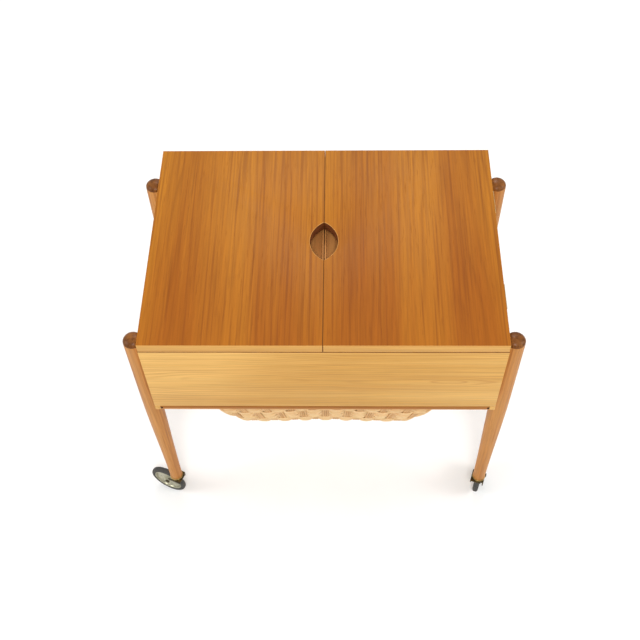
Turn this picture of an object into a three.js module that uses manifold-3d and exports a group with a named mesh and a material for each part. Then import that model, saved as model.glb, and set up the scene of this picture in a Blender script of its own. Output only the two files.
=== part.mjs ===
// Sewing trolley: a box with two folding leaves, two sliding trays and a pull-out basket, on four
// round legs with swivel casters. Millimetres, +Z up. The origin is on the floor, midway between
// the four legs, and the front of the trolley faces -Y.

import * as THREE from 'three';
import { ConvexGeometry } from 'three/addons/geometries/ConvexGeometry.js';
import { mergeVertices } from 'three/addons/utils/BufferGeometryUtils.js';
import Module from 'manifold-3d';

const wasm = await Module();
wasm.setup();

// ---------------------------------------------------------------- driving dimensions

const GAP = 0.3;                    // clearance between pieces that touch
const HEIGHT = 650;                 // floor to the top of the closed leaves
const TOP_WIDTH = 600;              // across the two closed leaves
const DEPTH = 428;                  // front to back
const LEAF_THICKNESS = 19;
const LEAF_SEAM = 1;                // between the two closed leaves
const LEAF_GAP = 1.2;               // between the closed leaves and the box
const EYE_LENGTH = 84;              // finger hole shared by the two leaves, along Y
const EYE_WIDTH = 49;

const PANEL_THICKNESS = 16;         // front, back and side panels of the box
const SIDE_OVERHANG = 0.8;          // side panels stand this far outside the leaves
const FRONT_PANEL_HEIGHT = 178;
const SIDE_PANEL_DROP = 12;         // side panels reach this far below the front panel
const BOTTOM_THICKNESS = 6;
const BOTTOM_LIFT = 3.4;            // underside of the box bottom above the front panel's edge
const GROOVE_DEPTH = 4.8;           // grooves that hold the box bottom
const OVERCUT = 1;                  // how far a cutting solid passes the face that it opens

const TRAY_WIDTH = 200;
const TRAY_HEIGHT = 56;
const TRAY_WALL = 6;
const TRAY_SEAM = 1.2;              // between the two trays
const TRAY_SEAM_WALL = 2.8;         // the wall that faces the other tray
const TRAY_FLOOR = 5;
const TRAY_SHALLOW_DEPTH = 14;      // depth of the long compartment
const TRAY_ROWS = 3;                // short compartments in a tray
const TRAY_END_PLAY = 2.2;          // between a tray's ends and the front and back panels
const TRAY_BELOW_LEAF = 7;
const LEDGE_WIDTH = 12;
const LEDGE_HEIGHT = 10;

const LEG_X = 318.6;                // leg axis from the middle plane
const LEG_SETBACK = 41.6;           // leg axis behind the front panel's face
const LEG_TOP_RADIUS = 17.3;
const LEG_FOOT_RADIUS = 12.4;
const TAPER_START = 420;            // height at which the leg starts to taper
const CAP_HEIGHT = 10.1;
const CAP_RADIUS = 17;
const BOLT_HEIGHT = 540;
const BOLT_RADIUS = 3.9;
const BOLT_HEAD_RADIUS = 8;
const BOLT_HEAD_HEIGHT = 4;
const BOLT_TIP = 5;                 // the bolt ends this far past the leg's axis
const BOLT_HOLE_TIP = 6;
const CAP_SPIGOT_RADIUS = 5;
const CAP_SPIGOT_LENGTH = 12;
const SOCKET_RADIUS = 6.2;          // caster socket in the foot of the leg
const SOCKET_TOP = 108;
const SOCKET_ROOF = 3;

const WHEEL_RADIUS = 39.5;
const TYRE_WIDTH = 12;
const DISC_RADIUS = 31.4;
const TRAIL = 25;                   // wheel axle behind the swivel axis
const CROWN_BOTTOM = 75.4;          // underside of the caster bracket's top plate
const CROWN_THICKNESS = 2.2;
const ARM_THICKNESS = 2.4;
const ARM_INNER = -10.6;            // face of the bracket arm beside the wheel
const FERRULE_BOTTOM = 78.2;
const FERRULE_RADIUS = 13.2;
const FLANGE_THICKNESS = 1.8;
const KINGPIN_RADIUS = 4;
const KINGPIN_LENGTH = 28;
const KINGPIN_INSIDE = 2;           // how far the kingpin reaches into the top plate
const CROWN_RADIUS = 12.5;
const CROWN_REAR = 6;               // the top plate stops here, ahead of the wheel
const PRONG_BOTTOM = 64;            // lower end of the lug on the bracket's front edge
const PRONG_WIDTH = 4;
const PRONG_RISE = 6;               // height of the notch behind the lug
const PRONG_SLANT = 1.5;
const ARM_BELLY = 8;                // where the arm's lower edge curves most
const ARM_BELLY_RISE = 2;
const BOSS_RADIUS = 7.5;
const AXLE_RADIUS = 3;
const AXLE_HEAD_RADIUS = 5;
const AXLE_HEAD_THICKNESS = 1.4;
const HUB_RADIUS = 7;
const HUB_FAR = 6.9;                // hub face on the side away from the arm
const HUB_FILLET = 1.5;
const HUB_SHOULDER = 3;
const WEB_NEAR = -1;                // the two faces of the disc between hub and rim
const WEB_FAR = 2.2;
const WEB_DISH = 0.8;
const RIM_HALF = 5;
const RIM_LIP = 3;
const RIM_SLOPE = 2;
const TYRE_CHAMFER = 0.8;
const TYRE_BEAD = 1.4;
const TYRE_SHOULDER = 3;
const TYRE_SHOULDER_DROP = 0.4;
const FRONT_LEFT_HEADING = THREE.MathUtils.degToRad(157);
const FRONT_RIGHT_HEADING = THREE.MathUtils.degToRad(72);

const HINGE_OFFSET = 2.2;           // hinge axis outside the leaf's edge
const HINGE_LENGTH = 50;
const HINGE_SPACING = 104;          // hinge middle from the middle plane, along Y
const KNUCKLE_RADIUS = 2.6;
const KNUCKLE_HALF = 8;             // half length of the middle knuckle
const PLATE_REACH = 14.2;           // hinge axis to the far edge of a hinge plate
const PLATE_THICKNESS = 1.4;
const PIN_RADIUS = 1.2;
const PIN_BORE = 1.55;

const RAIL_HEIGHT = 10.4;
const RAIL_WIDTH = 20;              // front and back rails of the basket frame
const SIDE_RAIL_WIDTH = 30;
const LIP_THICKNESS = 9;            // side panel below the box bottom
const RAIL_PLAY = 0.6;              // between the basket frame and the side panels
const RUNNER_HEIGHT = 3.4;          // ridge on each side panel that the basket frame slides on
const RUNNER_REACH = 4.1;
const RUNNER_SETBACK = 14;          // the ridge stops this far from the panel's front and back
const RIM_REACH = 3.6;              // basket rim that rests on the frame
const RIM_THICKNESS = 4.4;
const BASKET_DEPTH = 142;
const BASKET_WALL = 7;
const TUB_TOP_CORNER = 40;          // corner radii of the tub, from its top to its floor
const TUB_WAIST_CORNER = 44;
const TUB_BILGE_CORNER = 42;
const TUB_FLOOR_CORNER = 34;
const TUB_WAIST = { height: 22, x: 66, y: 17 };     // how far the sides have leaned in
const TUB_BILGE = { height: 7, x: 78, y: 24 };
const TUB_FLOOR = { height: 0, x: 94, y: 35 };

// ---------------------------------------------------------------- derived places

const HALF_DEPTH = DEPTH / 2;
const LEAF_BOTTOM = HEIGHT - LEAF_THICKNESS;
const BOX_TOP = LEAF_BOTTOM - LEAF_GAP;
const PANEL_BOTTOM = BOX_TOP - FRONT_PANEL_HEIGHT;
const SIDE_BOTTOM = PANEL_BOTTOM - SIDE_PANEL_DROP;
const BOX_HALF_WIDTH = TOP_WIDTH / 2 + SIDE_OVERHANG;
const INNER_HALF_WIDTH = BOX_HALF_WIDTH - PANEL_THICKNESS;
const INNER_HALF_DEPTH = HALF_DEPTH - PANEL_THICKNESS;
const FLOOR_BOTTOM = PANEL_BOTTOM + BOTTOM_LIFT;
const FLOOR_TOP = FLOOR_BOTTOM + BOTTOM_THICKNESS;
const TRAY_TOP = LEAF_BOTTOM - TRAY_BELOW_LEAF;
const TRAY_BOTTOM = TRAY_TOP - TRAY_HEIGHT;
const LEG_Y = HALF_DEPTH - LEG_SETBACK;
const FOOT_BOTTOM = FERRULE_BOTTOM + FLANGE_THICKNESS + GAP;
const HINGE_X = TOP_WIDTH / 2 + HINGE_OFFSET;
const HINGE_Z = (LEAF_BOTTOM + BOX_TOP) / 2;
const OPEN_LEAF_UNDERSIDE = 2 * HINGE_Z - HEIGHT;
const CAP_TOP = OPEN_LEAF_UNDERSIDE - GAP;
const LEG_TOP = CAP_TOP - CAP_HEIGHT - GAP;
const LIP_INNER = BOX_HALF_WIDTH - LIP_THICKNESS;
const FRAME_HALF_WIDTH = LIP_INNER - RAIL_PLAY;
const FRAME_HALF_DEPTH = HALF_DEPTH - GAP;
const RAIL_BOTTOM = SIDE_BOTTOM;
const RAIL_TOP = RAIL_BOTTOM + RAIL_HEIGHT;
const WELL_HALF_WIDTH = FRAME_HALF_WIDTH - SIDE_RAIL_WIDTH;
const WELL_HALF_DEPTH = FRAME_HALF_DEPTH - RAIL_WIDTH;
const RIM_BOTTOM = RAIL_TOP - RIM_THICKNESS - GAP;
const RUNNER_BOTTOM = RAIL_BOTTOM + (RAIL_HEIGHT - RUNNER_HEIGHT) / 2;

// ---------------------------------------------------------------- materials

function finish(color, roughness, metalness) {
  return new THREE.MeshStandardMaterial({ color, roughness, metalness });
}

const topWood = finish(0xc58445, 0.45, 0);
const panelWood = finish(0xdca968, 0.5, 0);
const legWood = finish(0xc98f57, 0.5, 0);
const capWood = finish(0x84563a, 0.4, 0);
const innerWood = finish(0xb9824f, 0.6, 0);
const cane = finish(0xe3c392, 0.7, 0);
const brass = finish(0xb8a26a, 0.35, 0.9);
const bronze = finish(0x4c4026, 0.45, 0.8);
const rubber = finish(0x3b3a38, 0.8, 0);
const steel = finish(0x9a9a96, 0.4, 0.9);

// ---------------------------------------------------------------- solids

function toSolid(geometry) {
  const bare = geometry.clone();
  bare.deleteAttribute('normal');
  bare.deleteAttribute('uv');
  const merged = mergeVertices(bare, 1e-4);
  const vertProperties = new Float32Array(merged.attributes.position.array);
  const triVerts = new Uint32Array(merged.index.array);
  return new wasm.Manifold(new wasm.Mesh({ numProp: 3, vertProperties, triVerts }));
}

function toGeometry(solid) {
  const mesh = solid.getMesh();
  const geometry = new THREE.BufferGeometry();
  geometry.setAttribute('position', new THREE.BufferAttribute(mesh.vertProperties, 3));
  geometry.setIndex(new THREE.BufferAttribute(mesh.triVerts, 1));
  geometry.computeVertexNormals();
  return geometry;
}

function join(...geometries) {
  const solids = geometries.map(toSolid);
  return toGeometry(solids.reduce((whole, solid) => whole.add(solid)));
}

function cut(geometry, ...tools) {
  return toGeometry(tools.map(toSolid).reduce((rest, tool) => rest.subtract(tool), toSolid(geometry)));
}

// A box between two limits on each axis.
function block([x0, x1], [y0, y1], [z0, z1]) {
  const geometry = new THREE.BoxGeometry(Math.abs(x1 - x0), Math.abs(y1 - y0), z1 - z0);
  return geometry.translate((x0 + x1) / 2, (y0 + y1) / 2, (z0 + z1) / 2);
}

// A round solid about Y from [radius, y] pairs, which run from low y to high y on the outside.
function roundAboutY(profile, segments) {
  const points = profile.map(([radius, y]) => new THREE.Vector2(radius, y));
  return new THREE.LatheGeometry(points, segments);
}

function roundAboutZ(profile, segments) {
  return roundAboutY(profile, segments).rotateX(Math.PI / 2);
}

// A rod along Y.
function rodY(radius, y0, y1, segments = 12) {
  return new THREE.CylinderGeometry(radius, radius, y1 - y0, segments).translate(0, (y0 + y1) / 2, 0);
}

// A rod along X.
function rodX(radius, x0, x1, segments = 12) {
  const rod = new THREE.CylinderGeometry(radius, radius, Math.abs(x1 - x0), segments);
  return rod.rotateZ(Math.PI / 2).translate((x0 + x1) / 2, 0, 0);
}

function place(parent, name, geometry, material) {
  const mesh = new THREE.Mesh(geometry, material);
  mesh.name = name;
  parent.add(mesh);
  return mesh;
}

function holder(parent, x, y, z, turn = 0) {
  const group = new THREE.Group();
  group.position.set(x, y, z);
  group.rotation.z = turn;
  parent.add(group);
  return group;
}

// ---------------------------------------------------------------- box

// Clearance for a leaf hinge, in the side panel's top edge or in the leaf's underside.
function hingePockets(side) {
  const depth = PLATE_THICKNESS + 2 * GAP;
  return [-HINGE_SPACING, HINGE_SPACING].flatMap((y) => {
    const half = HINGE_LENGTH / 2 + GAP;
    const reach = [side * (HINGE_X - PLATE_REACH - GAP), side * (HINGE_X + KNUCKLE_RADIUS)];
    const pocket = block(reach, [y - half, y + half], [HINGE_Z - depth, HINGE_Z + depth]);
    const barrel = rodY(KNUCKLE_RADIUS + GAP, y - half, y + half);
    return [pocket, barrel.translate(side * HINGE_X, 0, HINGE_Z)];
  });
}

// Groove that the box bottom sits in, cut into all four panels at once.
function bottomGroove() {
  const x = INNER_HALF_WIDTH + GROOVE_DEPTH;
  const y = INNER_HALF_DEPTH + GROOVE_DEPTH;
  return block([-x, x], [-y, y], [FLOOR_BOTTOM - GAP, FLOOR_TOP + GAP]);
}

// Front panel for facing -1, back panel for facing 1.
function facePanel(facing) {
  const y = [facing * HALF_DEPTH, facing * INNER_HALF_DEPTH];
  const board = block([-BOX_HALF_WIDTH, BOX_HALF_WIDTH], y, [PANEL_BOTTOM, BOX_TOP]);
  return cut(board, bottomGroove());
}

// The side panel runs under the front and back panels, with a thin lip
// and a ridge that the basket frame slides on.
function sidePanel(side) {
  const x = [side * INNER_HALF_WIDTH, side * BOX_HALF_WIDTH];
  const length = INNER_HALF_DEPTH - GAP;
  const upper = block(x, [-length, length], [PANEL_BOTTOM - 2 * GAP, BOX_TOP]);
  const lower = block(x, [-HALF_DEPTH, HALF_DEPTH], [SIDE_BOTTOM, PANEL_BOTTOM - GAP]);
  const along = [-HALF_DEPTH - OVERCUT, HALF_DEPTH + OVERCUT];
  const rebateX = [side * (INNER_HALF_WIDTH - OVERCUT), side * LIP_INNER];
  const rebate = block(rebateX, along, [SIDE_BOTTOM - OVERCUT, PANEL_BOTTOM - GAP]);
  const runnerX = [side * (LIP_INNER - RUNNER_REACH), side * (LIP_INNER + OVERCUT)];
  const runnerHalf = HALF_DEPTH - RUNNER_SETBACK;
  const runner = block(runnerX, [-runnerHalf, runnerHalf], [RUNNER_BOTTOM, RUNNER_BOTTOM + RUNNER_HEIGHT]);
  const holeX = [side * (INNER_HALF_WIDTH - OVERCUT), side * (BOX_HALF_WIDTH + OVERCUT)];
  const boltHoles = [-LEG_Y, LEG_Y].map((y) =>
    rodX(BOLT_RADIUS + GAP, ...holeX).translate(0, y, BOLT_HEIGHT));
  const panel = cut(join(upper, lower), rebate, bottomGroove(), ...hingePockets(side), ...boltHoles);
  return join(panel, runner);
}

function boxBottom() {
  const x = INNER_HALF_WIDTH + GROOVE_DEPTH - GAP;
  const y = INNER_HALF_DEPTH + GROOVE_DEPTH - GAP;
  return block([-x, x], [-y, y], [FLOOR_BOTTOM, FLOOR_TOP]);
}

function trayLedge(facing) {
  const y = [facing * (INNER_HALF_DEPTH - GAP), facing * (INNER_HALF_DEPTH - GAP - LEDGE_WIDTH)];
  const x = INNER_HALF_WIDTH - GAP;
  return block([-x, x], y, [TRAY_BOTTOM - GAP - LEDGE_HEIGHT, TRAY_BOTTOM - GAP]);
}

function addBox(group) {
  place(group, 'front_panel', facePanel(-1), panelWood);
  place(group, 'back_panel', facePanel(1), panelWood);
  place(group, 'left_side_panel', sidePanel(-1), panelWood);
  place(group, 'right_side_panel', sidePanel(1), panelWood);
  place(group, 'box_bottom', boxBottom(), innerWood);
  place(group, 'front_tray_ledge', trayLedge(-1), innerWood);
  place(group, 'back_tray_ledge', trayLedge(1), innerWood);
}

// ---------------------------------------------------------------- leaves and their hinges

// A leaf in plan, with half of the pointed eye cut from the edge at the seam.
function leaf(side) {
  const seam = LEAF_SEAM / 2;
  const edge = TOP_WIDTH / 2;
  const halfLength = EYE_LENGTH / 2;
  const halfWidth = EYE_WIDTH / 2;
  const arcRadius = (halfLength ** 2 + halfWidth ** 2) / (2 * halfWidth);
  const arcCentre = halfWidth - arcRadius;
  const cutY = Math.sqrt(arcRadius ** 2 - (seam - arcCentre) ** 2);
  const sweep = Math.atan2(cutY, seam - arcCentre);
  const outline = new THREE.Shape();
  outline.moveTo(seam, -HALF_DEPTH);
  outline.lineTo(edge, -HALF_DEPTH);
  outline.lineTo(edge, HALF_DEPTH);
  outline.lineTo(seam, HALF_DEPTH);
  outline.lineTo(seam, cutY);
  outline.absarc(arcCentre, 0, arcRadius, sweep, -sweep, true);
  const board = new THREE.ExtrudeGeometry(outline, {
    depth: LEAF_THICKNESS, bevelEnabled: false, curveSegments: 14,
  });
  const turned = side > 0 ? board : board.rotateZ(Math.PI);
  return cut(turned.translate(0, 0, LEAF_BOTTOM), ...hingePockets(side));
}

// One half of a butt hinge about Y. Level 1 is the leaf's plate, level -1 is the box's plate.
function hingePlate(level, knuckles) {
  const z = [level * GAP, level * (GAP + PLATE_THICKNESS)].sort((a, b) => a - b);
  const inner = KNUCKLE_RADIUS + 2 * GAP;
  const half = HINGE_LENGTH / 2;
  const plate = block([inner, PLATE_REACH], [-half, half], z);
  const parts = knuckles.flatMap(([y0, y1]) =>
    [rodY(KNUCKLE_RADIUS, y0, y1), block([0, inner], [y0, y1], z)]);
  return cut(join(plate, ...parts), rodY(PIN_BORE, -half - OVERCUT, half + OVERCUT));
}

function addHinge(group, name, side, y) {
  const half = HINGE_LENGTH / 2;
  const end = KNUCKLE_HALF + GAP;
  const hinge = holder(group, side * HINGE_X, y, HINGE_Z, side > 0 ? Math.PI : 0);
  place(hinge, `${name}_hinge_box_plate`, hingePlate(-1, [[-half, -end], [end, half]]), brass);
  place(hinge, `${name}_hinge_leaf_plate`, hingePlate(1, [[-KNUCKLE_HALF, KNUCKLE_HALF]]), brass);
  place(hinge, `${name}_hinge_pin`, rodY(PIN_RADIUS, -half, half, 10), steel);
}

// ---------------------------------------------------------------- trays

// A tray with one long shallow compartment beside the seam and three short deep ones outside it.
function tray(side) {
  const seam = TRAY_SEAM / 2;
  const halfLength = INNER_HALF_DEPTH - TRAY_END_PLAY;
  const wholeX = [side * seam, side * (seam + TRAY_WIDTH)];
  const outer = block(wholeX, [-halfLength, halfLength], [TRAY_BOTTOM, TRAY_TOP]);
  const columnWidth = (TRAY_WIDTH - 2 * TRAY_WALL - TRAY_SEAM_WALL) / 2;
  const innerX = seam + TRAY_SEAM_WALL;
  const outerX = innerX + columnWidth + TRAY_WALL;
  const inside = halfLength - TRAY_WALL;
  const longX = [side * innerX, side * (innerX + columnWidth)];
  const long = block(longX, [-inside, inside], [TRAY_TOP - TRAY_SHALLOW_DEPTH, TRAY_TOP + OVERCUT]);
  const rowLength = (2 * inside - (TRAY_ROWS - 1) * TRAY_WALL) / TRAY_ROWS;
  const shortX = [side * outerX, side * (outerX + columnWidth)];
  const shorts = Array.from({ length: TRAY_ROWS }, (_, row) => {
    const y = -inside + row * (rowLength + TRAY_WALL);
    return block(shortX, [y, y + rowLength], [TRAY_BOTTOM + TRAY_FLOOR, TRAY_TOP + OVERCUT]);
  });
  // The shallow floor is a thin board, so the space under it is open from below.
  const underTop = TRAY_TOP - TRAY_SHALLOW_DEPTH - TRAY_FLOOR;
  const under = block(longX, [-inside, inside], [TRAY_BOTTOM - OVERCUT, underTop]);
  return cut(outer, long, ...shorts, under);
}

// ---------------------------------------------------------------- legs

function legRadius(z) {
  const t = THREE.MathUtils.smoothstep(z, FOOT_BOTTOM, TAPER_START);
  return LEG_FOOT_RADIUS + (LEG_TOP_RADIUS - LEG_FOOT_RADIUS) * t;
}

// A turned leg, bored for the caster socket below, the cap's spigot above and the bolt at its side.
function leg(side) {
  const profile = [[0, SOCKET_TOP + GAP], [SOCKET_RADIUS + GAP, SOCKET_TOP + GAP]];
  profile.push([SOCKET_RADIUS + GAP, FOOT_BOTTOM]);
  const steps = 6;
  for (let step = 0; step <= steps; step += 1) {
    const z = FOOT_BOTTOM + (TAPER_START - FOOT_BOTTOM) * step / steps;
    profile.push([legRadius(z), z]);
  }
  profile.push([CAP_RADIUS, LEG_TOP]);
  profile.push([CAP_SPIGOT_RADIUS + GAP, LEG_TOP]);
  profile.push([CAP_SPIGOT_RADIUS + GAP, LEG_TOP - CAP_SPIGOT_LENGTH - GAP]);
  profile.push([0, LEG_TOP - CAP_SPIGOT_LENGTH - GAP]);
  const holeX = [side * BOLT_HOLE_TIP, -side * (LEG_TOP_RADIUS + OVERCUT)];
  const hole = rodX(BOLT_RADIUS + GAP, ...holeX).translate(0, 0, BOLT_HEIGHT);
  return cut(roundAboutZ(profile, 18), hole);
}

// A flat dome with a spigot that plugs into the top of the leg.
function legCap() {
  const base = LEG_TOP + GAP;
  const tip = LEG_TOP - CAP_SPIGOT_LENGTH;
  const profile = [[0, tip], [CAP_SPIGOT_RADIUS, tip], [CAP_SPIGOT_RADIUS, base]];
  const steps = 4;
  for (let step = 0; step <= steps; step += 1) {
    const angle = (Math.PI / 2) * step / steps;
    profile.push([CAP_RADIUS * Math.cos(angle), base + CAP_HEIGHT * Math.sin(angle)]);
  }
  profile[profile.length - 1][0] = 0;
  return roundAboutZ(profile, 18);
}

// The bolt runs from inside the box, through the side panel, into the leg.
function legBolt(side) {
  const seat = INNER_HALF_WIDTH - GAP;
  const head = rodX(BOLT_HEAD_RADIUS, side * seat, side * (seat - BOLT_HEAD_HEIGHT));
  const shank = rodX(BOLT_RADIUS, side * (seat - BOLT_HEAD_HEIGHT / 2), side * (LEG_X + BOLT_TIP));
  return join(head, shank);
}

// ---------------------------------------------------------------- casters

// A caster's own frame has +X from the swivel axis towards the trailing wheel and +Y along the axle.

function ferrule() {
  const bore = KINGPIN_RADIUS + GAP;
  const roof = SOCKET_TOP - SOCKET_ROOF;
  const flangeTop = FERRULE_BOTTOM + FLANGE_THICKNESS;
  return roundAboutZ([
    [0, roof], [bore, roof], [bore, FERRULE_BOTTOM], [FERRULE_RADIUS, FERRULE_BOTTOM],
    [FERRULE_RADIUS, flangeTop], [SOCKET_RADIUS, flangeTop], [SOCKET_RADIUS, SOCKET_TOP], [0, SOCKET_TOP],
  ], 16);
}

// One bracket arm passes beside the wheel, from the top plate down to the axle boss.
function casterBracket() {
  const armOuter = ARM_INNER - ARM_THICKNESS;
  const crownTop = CROWN_BOTTOM + CROWN_THICKNESS;
  const disc = new THREE.CylinderGeometry(CROWN_RADIUS, CROWN_RADIUS, CROWN_THICKNESS, 24);
  disc.rotateX(Math.PI / 2).translate(0, 0, crownTop - CROWN_THICKNESS / 2);
  const shoulder = block([-CROWN_RADIUS, CROWN_REAR], [armOuter, 0], [CROWN_BOTTOM, crownTop]);
  const kingpin = new THREE.CylinderGeometry(KINGPIN_RADIUS, KINGPIN_RADIUS, KINGPIN_LENGTH, 16);
  kingpin.rotateX(Math.PI / 2).translate(0, 0, crownTop - KINGPIN_INSIDE + KINGPIN_LENGTH / 2);
  const side = new THREE.Shape();
  side.moveTo(-CROWN_RADIUS, crownTop);
  side.lineTo(-CROWN_RADIUS, PRONG_BOTTOM);
  side.lineTo(-CROWN_RADIUS + PRONG_WIDTH, PRONG_BOTTOM);
  side.lineTo(-CROWN_RADIUS + PRONG_WIDTH + PRONG_SLANT, PRONG_BOTTOM + PRONG_RISE);
  side.quadraticCurveTo(ARM_BELLY, PRONG_BOTTOM + ARM_BELLY_RISE, TRAIL - BOSS_RADIUS, WHEEL_RADIUS);
  side.absarc(TRAIL, WHEEL_RADIUS, BOSS_RADIUS, Math.PI, 2 * Math.PI, false);
  side.lineTo(CROWN_REAR, crownTop);
  const arm = new THREE.ExtrudeGeometry(side, {
    depth: ARM_THICKNESS, bevelEnabled: false, curveSegments: 8,
  });
  arm.rotateX(Math.PI / 2).translate(0, ARM_INNER, 0);
  const bore = rodY(AXLE_RADIUS + GAP, armOuter - OVERCUT, ARM_INNER + OVERCUT);
  bore.translate(TRAIL, 0, WHEEL_RADIUS);
  const clearance = block([CROWN_REAR, CROWN_RADIUS + OVERCUT], [ARM_INNER, CROWN_RADIUS + OVERCUT],
    [CROWN_BOTTOM - OVERCUT, crownTop + OVERCUT]);
  return cut(join(disc, shoulder, kingpin, arm), clearance, bore);
}

function axle() {
  const near = ARM_INNER - ARM_THICKNESS - GAP;
  const far = HUB_FAR + GAP;
  const nearEnd = near - AXLE_HEAD_THICKNESS;
  const farEnd = far + AXLE_HEAD_THICKNESS;
  return roundAboutY([
    [0, nearEnd], [AXLE_HEAD_RADIUS, nearEnd], [AXLE_HEAD_RADIUS, near], [AXLE_RADIUS, near],
    [AXLE_RADIUS, far], [AXLE_HEAD_RADIUS, far], [AXLE_HEAD_RADIUS, farEnd], [0, farEnd],
  ], 12);
}

// A dished disc with a hub and a flat rim for the tyre. The profile closes on itself.
function wheelDisc() {
  const bore = AXLE_RADIUS + GAP;
  const hubNear = ARM_INNER + GAP;
  const lip = DISC_RADIUS - RIM_LIP;
  return roundAboutY([
    [bore, hubNear], [HUB_RADIUS, hubNear], [HUB_RADIUS + HUB_FILLET, WEB_NEAR - WEB_DISH],
    [lip - HUB_FILLET, WEB_NEAR], [lip, -RIM_HALF], [DISC_RADIUS, -RIM_HALF], [DISC_RADIUS, RIM_HALF],
    [lip, RIM_HALF], [lip - RIM_SLOPE, WEB_FAR], [HUB_RADIUS + HUB_SHOULDER, WEB_FAR],
    [HUB_RADIUS, HUB_FAR], [bore, HUB_FAR], [bore, hubNear],
  ], 24);
}

function tyre() {
  const inner = DISC_RADIUS + GAP;
  const half = TYRE_WIDTH / 2;
  const side = half - TYRE_CHAMFER;
  const shoulder = half - TYRE_SHOULDER_DROP;
  return roundAboutY([
    [inner, -side], [inner + TYRE_BEAD, -half], [WHEEL_RADIUS - TYRE_SHOULDER, -shoulder],
    [WHEEL_RADIUS, -half / 2], [WHEEL_RADIUS, half / 2], [WHEEL_RADIUS - TYRE_SHOULDER, shoulder],
    [inner + TYRE_BEAD, half], [inner, side], [inner, -side],
  ], 24);
}

function addCaster(group, name, x, y, heading) {
  const caster = holder(group, x, y, 0, heading);
  place(caster, `${name}_caster_ferrule`, ferrule(), brass);
  place(caster, `${name}_caster_bracket`, casterBracket(), bronze);
  const wheel = holder(caster, TRAIL, 0, WHEEL_RADIUS);
  place(wheel, `${name}_caster_axle`, axle(), bronze);
  place(wheel, `${name}_caster_disc`, wheelDisc(), brass);
  place(wheel, `${name}_caster_tyre`, tyre(), rubber);
}

// ---------------------------------------------------------------- pull-out basket

// Rebate in the rails that the basket's rim rests in.
function rimRebate() {
  const x = WELL_HALF_WIDTH + RIM_REACH + GAP;
  const y = WELL_HALF_DEPTH + RIM_REACH + GAP;
  return block([-x, x], [-y, y], [RIM_BOTTOM - GAP, RAIL_TOP + OVERCUT]);
}

// Groove along the basket frame's outer edge that takes the side panel's ridge.
function runnerGroove(side) {
  const x = [side * (LIP_INNER - RUNNER_REACH - GAP), side * (FRAME_HALF_WIDTH + OVERCUT)];
  const y = FRAME_HALF_DEPTH + OVERCUT;
  return block(x, [-y, y], [RUNNER_BOTTOM - GAP, RUNNER_BOTTOM + RUNNER_HEIGHT + GAP]);
}

function faceRail(facing) {
  const y = [facing * FRAME_HALF_DEPTH, facing * WELL_HALF_DEPTH];
  const rail = block([-FRAME_HALF_WIDTH, FRAME_HALF_WIDTH], y, [RAIL_BOTTOM, RAIL_TOP]);
  return cut(rail, rimRebate(), runnerGroove(-1), runnerGroove(1));
}

function sideRail(side) {
  const y = [-WELL_HALF_DEPTH + GAP, WELL_HALF_DEPTH - GAP];
  const rail = block([side * WELL_HALF_WIDTH, side * FRAME_HALF_WIDTH], y, [RAIL_BOTTOM, RAIL_TOP]);
  return cut(rail, rimRebate(), runnerGroove(side));
}

// Corner points of a rectangle with round corners, at one height.
function ring(halfWidth, halfDepth, radius, z) {
  const points = [];
  const steps = 4;
  for (const [sx, sy, start] of [[1, 1, 0], [-1, 1, 1], [-1, -1, 2], [1, -1, 3]]) {
    for (let step = 0; step <= steps; step += 1) {
      const angle = (start + step / steps) * Math.PI / 2;
      const x = sx * (halfWidth - radius) + radius * Math.cos(angle);
      const y = sy * (halfDepth - radius) + radius * Math.sin(angle);
      points.push(new THREE.Vector3(x, y, z));
    }
  }
  return points;
}

// A flared tub: the sides lean in towards a flat floor with a round edge.
function tubHull(inset, top) {
  const bottom = RAIL_TOP - BASKET_DEPTH + inset;
  const width = WELL_HALF_WIDTH - 2 * GAP - inset;
  const depth = WELL_HALF_DEPTH - 2 * GAP - inset;
  const course = ({ height, x, y }, radius) => ring(width - x, depth - y, radius, bottom + height);
  return new ConvexGeometry([
    ...ring(width, depth, TUB_TOP_CORNER, top),
    ...course(TUB_WAIST, TUB_WAIST_CORNER),
    ...course(TUB_BILGE, TUB_BILGE_CORNER),
    ...course(TUB_FLOOR, TUB_FLOOR_CORNER),
  ]);
}

function basket() {
  const x = WELL_HALF_WIDTH + RIM_REACH;
  const y = WELL_HALF_DEPTH + RIM_REACH;
  const rim = block([-x, x], [-y, y], [RIM_BOTTOM, RIM_BOTTOM + RIM_THICKNESS]);
  const rimTop = RIM_BOTTOM + RIM_THICKNESS;
  return cut(join(rim, tubHull(0, rimTop)), tubHull(BASKET_WALL, rimTop + OVERCUT));
}

function addBasket(group) {
  place(group, 'basket_front_rail', faceRail(-1), legWood);
  place(group, 'basket_back_rail', faceRail(1), legWood);
  place(group, 'basket_left_rail', sideRail(-1), legWood);
  place(group, 'basket_right_rail', sideRail(1), legWood);
  place(group, 'basket', basket(), cane);
}

// ---------------------------------------------------------------- assembly

const trolley = new THREE.Group();
addBox(trolley);
addBasket(trolley);

for (const [sideName, side] of [['left', -1], ['right', 1]]) {
  place(trolley, `${sideName}_leaf`, leaf(side), topWood);
  place(trolley, `${sideName}_tray`, tray(side), innerWood);
  for (const [endName, end] of [['front', -1], ['rear', 1]]) {
    const name = `${endName}_${sideName}`;
    addHinge(trolley, name, side, end * HINGE_SPACING);
    place(holder(trolley, side * LEG_X, end * LEG_Y, 0), `${name}_leg`, leg(side), legWood);
    place(holder(trolley, side * LEG_X, end * LEG_Y, 0), `${name}_leg_cap`, legCap(), capWood);
    place(holder(trolley, 0, end * LEG_Y, BOLT_HEIGHT), `${name}_leg_bolt`, legBolt(side), steel);
  }
}

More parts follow.
